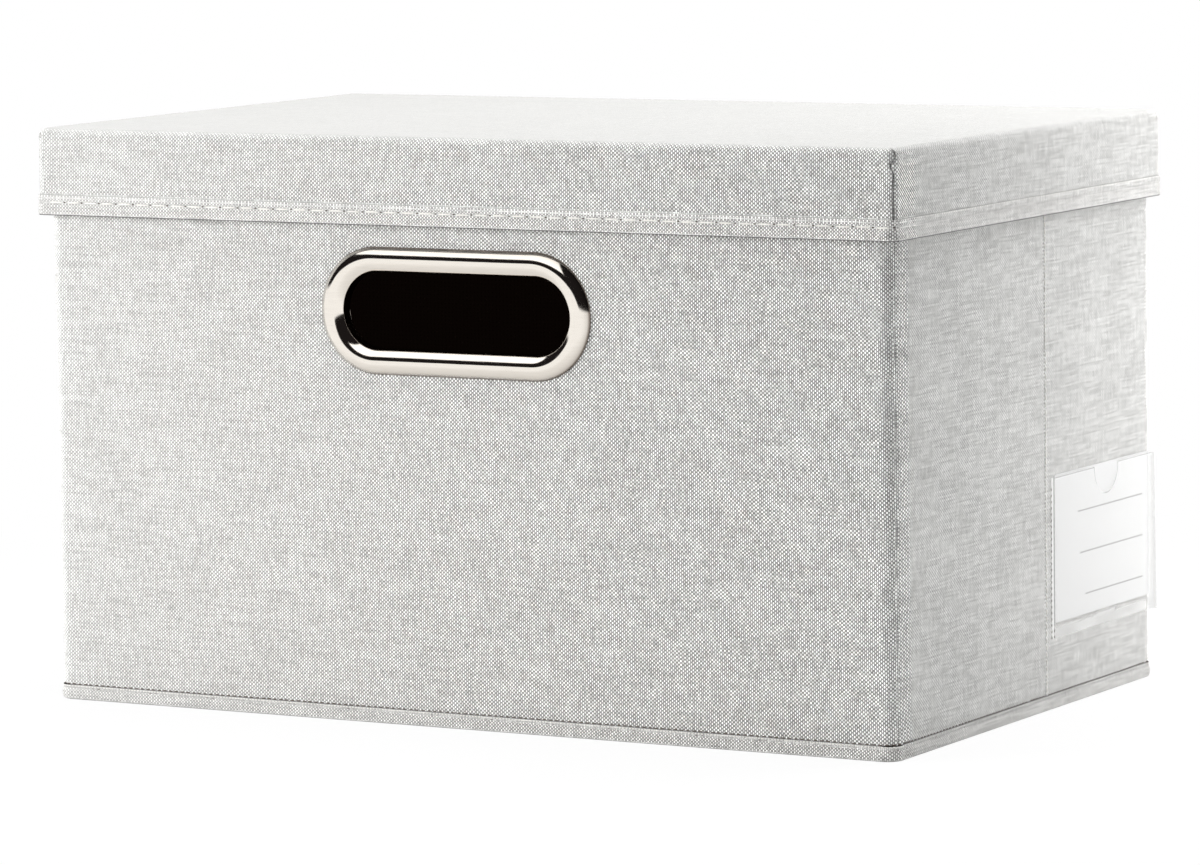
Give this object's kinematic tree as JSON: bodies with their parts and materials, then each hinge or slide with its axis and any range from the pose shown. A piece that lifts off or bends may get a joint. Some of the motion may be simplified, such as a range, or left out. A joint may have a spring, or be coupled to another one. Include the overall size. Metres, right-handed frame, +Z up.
{
  "type": "collapsible storage box with lid",
  "caption": "Collapsible linen-covered storage box with a lift-off lid, oval eyelet handles and a label pocket with a card.",
  "frame": {"origin": "middle of the footprint, on the ground", "axes": "+X along the front towards the labelled end, -Y out of the front, +Z up"},
  "size_m": [0.4088, 0.2588, 0.2452],
  "materials": {
    "linen": "light grey-beige plain-weave linen with slubs",
    "binding": "the same linen folded into stitched bindings",
    "lining": "dark non-woven lining cloth",
    "greyboard": "uncoated grey paperboard",
    "polished_metal": "polished nickel plate",
    "clear_film": "clear soft vinyl film",
    "card": "smooth white card with printed rules"
  },
  "bodies": {
    "back_wall": {"back_board": "greyboard", "back_linen": "linen", "back_lining": "lining", "back_eyelet": "polished_metal", "back_washer": "polished_metal", "back_foot_binding": "binding", "back_rim_tape": "binding", "floor_cloth": "lining"},
    "right_rear_panel": {"right_rear_board": "greyboard", "right_rear_linen": "linen", "right_rear_lining": "lining", "right_rear_foot_binding": "binding", "right_rear_rim_tape": "binding", "right_end_seam": "binding", "label_pocket": "clear_film"},
    "right_front_panel": {"right_front_board": "greyboard", "right_front_linen": "linen", "right_front_lining": "lining", "right_front_foot_binding": "binding", "right_front_rim_tape": "binding"},
    "front_wall": {"front_board": "greyboard", "front_linen": "linen", "front_lining": "lining", "front_eyelet": "polished_metal", "front_washer": "polished_metal", "front_foot_binding": "binding", "front_rim_tape": "binding"},
    "left_rear_panel": {"left_rear_board": "greyboard", "left_rear_linen": "linen", "left_rear_lining": "lining", "left_rear_foot_binding": "binding", "left_rear_rim_tape": "binding", "left_end_seam": "binding"},
    "left_front_panel": {"left_front_board": "greyboard", "left_front_linen": "linen", "left_front_lining": "lining", "left_front_foot_binding": "binding", "left_front_rim_tape": "binding"},
    "rear_floor_panel": {"rear_floor_board": "greyboard", "rear_floor_cover": "lining"},
    "front_floor_panel": {"front_floor_board": "greyboard", "front_floor_cover": "lining"},
    "lid": {"lid_top_board": "greyboard", "lid_front_board": "greyboard", "lid_back_board": "greyboard", "lid_left_board": "greyboard", "lid_right_board": "greyboard", "lid_linen": "linen", "lid_lining": "lining", "lid_hem": "binding"},
    "label_card": {"label_card": "card"}
  },
  "joints": [
    {"name": "wall_fold", "type": "hinge", "parent": "back_wall", "child": "right_rear_panel", "pos_m": [0.196, 0.117, 0.12], "axis": [0, 0, -1], "range_deg": [0, 88], "deforming": ["floor_cloth"]},
    {"name": "right_crease", "type": "hinge", "parent": "right_rear_panel", "child": "right_front_panel", "pos_m": [0.2013, 0, 0.12], "axis": [0, 0, 1], "range_deg": [0, 176]},
    {"name": "right_front_corner", "type": "hinge", "parent": "right_front_panel", "child": "front_wall", "pos_m": [0.196, -0.117, 0.12], "axis": [0, 0, -1], "range_deg": [0, 88]},
    {"name": "left_rear_corner", "type": "hinge", "parent": "back_wall", "child": "left_rear_panel", "pos_m": [-0.196, 0.117, 0.12], "axis": [0, 0, 1], "range_deg": [0, 88]},
    {"name": "left_crease", "type": "hinge", "parent": "left_rear_panel", "child": "left_front_panel", "pos_m": [-0.2013, 0, 0.12], "axis": [0, 0, -1], "range_deg": [0, 176]},
    {"name": "rear_floor_hinge", "type": "hinge", "parent": "back_wall", "child": "rear_floor_panel", "pos_m": [0, 0.1207, 0.0039], "axis": [-1, 0, 0], "range_deg": [0, 88]},
    {"name": "front_floor_hinge", "type": "hinge", "parent": "front_wall", "child": "front_floor_panel", "pos_m": [0, -0.1207, 0.0039], "axis": [1, 0, 0], "range_deg": [0, 88]},
    {"name": "lid_lift", "type": "slide", "parent": "back_wall", "child": "lid", "axis": [0, 0, 1], "range_m": [0, 0.18]},
    {"name": "card_slide", "type": "slide", "parent": "right_rear_panel", "child": "label_card", "axis": [0, 0, 1], "range_m": [0, 0.065]}
  ],
  "couplings": [
    {"joint": "right_crease", "follows": "wall_fold", "ratio": 2},
    {"joint": "right_front_corner", "follows": "wall_fold", "ratio": 1},
    {"joint": "left_rear_corner", "follows": "wall_fold", "ratio": 1},
    {"joint": "left_crease", "follows": "wall_fold", "ratio": 2},
    {"joint": "rear_floor_hinge", "follows": "wall_fold", "ratio": 1},
    {"joint": "front_floor_hinge", "follows": "wall_fold", "ratio": 1}
  ]
}
